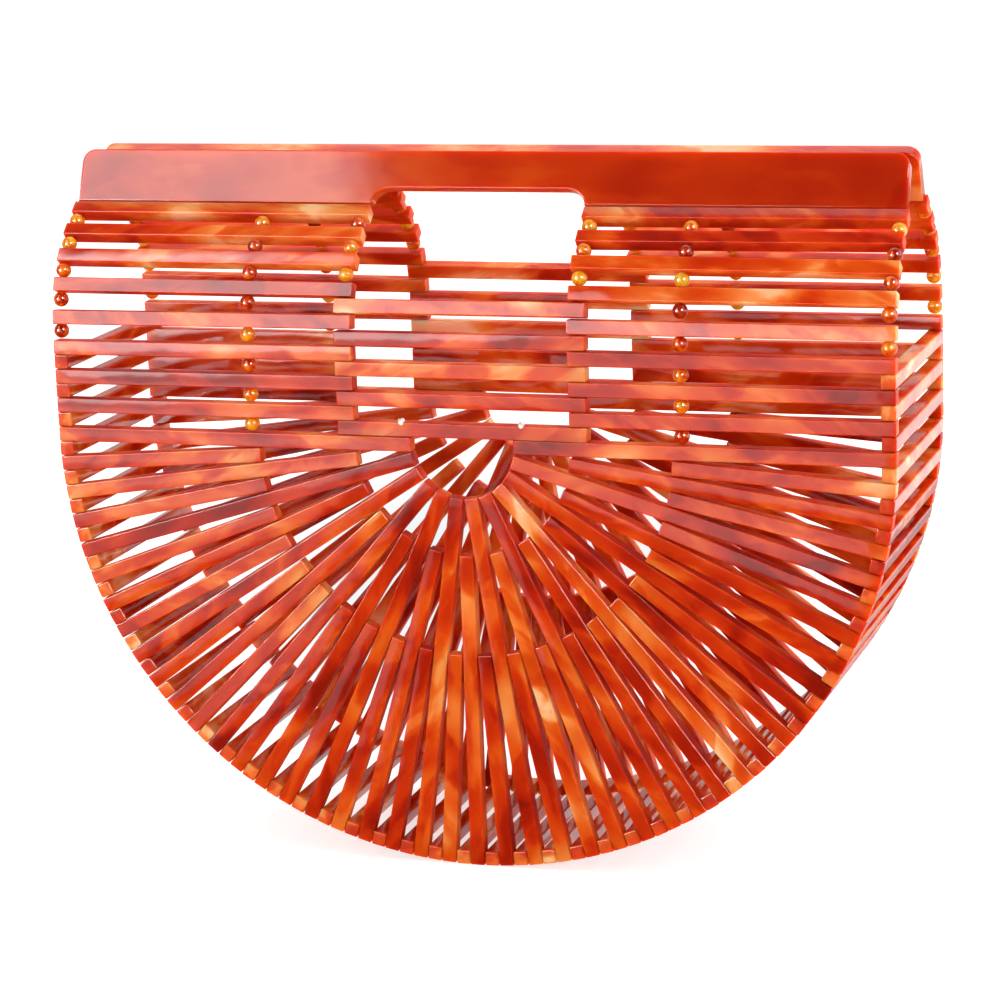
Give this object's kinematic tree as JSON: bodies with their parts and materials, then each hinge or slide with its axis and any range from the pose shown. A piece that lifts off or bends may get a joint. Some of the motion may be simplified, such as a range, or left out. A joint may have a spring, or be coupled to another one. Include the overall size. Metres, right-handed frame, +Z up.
{
  "type": "slatted half-moon handbag",
  "caption": "Half-moon handbag of narrow glossy acrylic slats: a radial fan in each face, side rungs, rows that curl in with round beads, and two slotted handle plates.",
  "frame": {"origin": "middle of the bag's footprint, on the surface it stands on", "axes": "+X across the bag's width to the wearer's right of the front face, +Y from the front face to the rear face, +Z up to the handles"},
  "size_m": [0.3016, 0.0854, 0.2477],
  "materials": {
    "slat_acrylic": "polished, marbled red, orange and amber",
    "rung_acrylic": "polished, marbled dark red and orange",
    "plate_acrylic": "polished, marbled red"
  },
  "bodies": {
    "root": {"front_handle": "plate_acrylic", "front_left_slat_7": "slat_acrylic", "front_right_slat_7": "slat_acrylic", "front_left_slat_6": "slat_acrylic", "front_right_slat_6": "slat_acrylic", "front_left_slat_5": "slat_acrylic", "front_right_slat_5": "slat_acrylic", "front_left_slat_4": "slat_acrylic", "front_right_slat_4": "slat_acrylic", "front_left_slat_3": "slat_acrylic", "front_right_slat_3": "slat_acrylic", "front_left_slat_2": "slat_acrylic", "front_right_slat_2": "slat_acrylic", "front_left_slat_1": "slat_acrylic", "front_right_slat_1": "slat_acrylic", "front_left_slat_0": "slat_acrylic", "front_right_slat_0": "slat_acrylic", "front_middle_slat_1": "slat_acrylic", "front_middle_slat_2": "slat_acrylic", "front_middle_slat_3": "slat_acrylic", "front_middle_slat_4": "slat_acrylic", "front_middle_slat_5": "slat_acrylic", "front_fan": "slat_acrylic", "rear_handle": "plate_acrylic", "rear_left_slat_7": "slat_acrylic", "rear_right_slat_7": "slat_acrylic", "rear_left_slat_6": "slat_acrylic", "rear_right_slat_6": "slat_acrylic", "rear_left_slat_5": "slat_acrylic", "rear_right_slat_5": "slat_acrylic", "rear_left_slat_4": "slat_acrylic", "rear_right_slat_4": "slat_acrylic", "rear_left_slat_3": "slat_acrylic", "rear_right_slat_3": "slat_acrylic", "rear_left_slat_2": "slat_acrylic", "rear_right_slat_2": "slat_acrylic", "rear_left_slat_1": "slat_acrylic", "rear_right_slat_1": "slat_acrylic", "rear_left_slat_0": "slat_acrylic", "rear_right_slat_0": "slat_acrylic", "rear_middle_slat_1": "slat_acrylic", "rear_middle_slat_2": "slat_acrylic", "rear_middle_slat_3": "slat_acrylic", "rear_middle_slat_4": "slat_acrylic", "rear_middle_slat_5": "slat_acrylic", "rear_fan": "slat_acrylic", "gusset_sector_1": "rung_acrylic", "gusset_sector_2": "rung_acrylic", "gusset_sector_3": "rung_acrylic", "gusset_sector_4": "rung_acrylic", "gusset_sector_5": "rung_acrylic", "gusset_sector_6": "rung_acrylic", "gusset_sector_7": "rung_acrylic", "gusset_sector_8": "rung_acrylic", "gusset_sector_9": "rung_acrylic", "gusset_sector_10": "rung_acrylic", "gusset_sector_11": "rung_acrylic", "gusset_left_side": "rung_acrylic", "gusset_right_side": "rung_acrylic"}
  },
  "joints": []
}
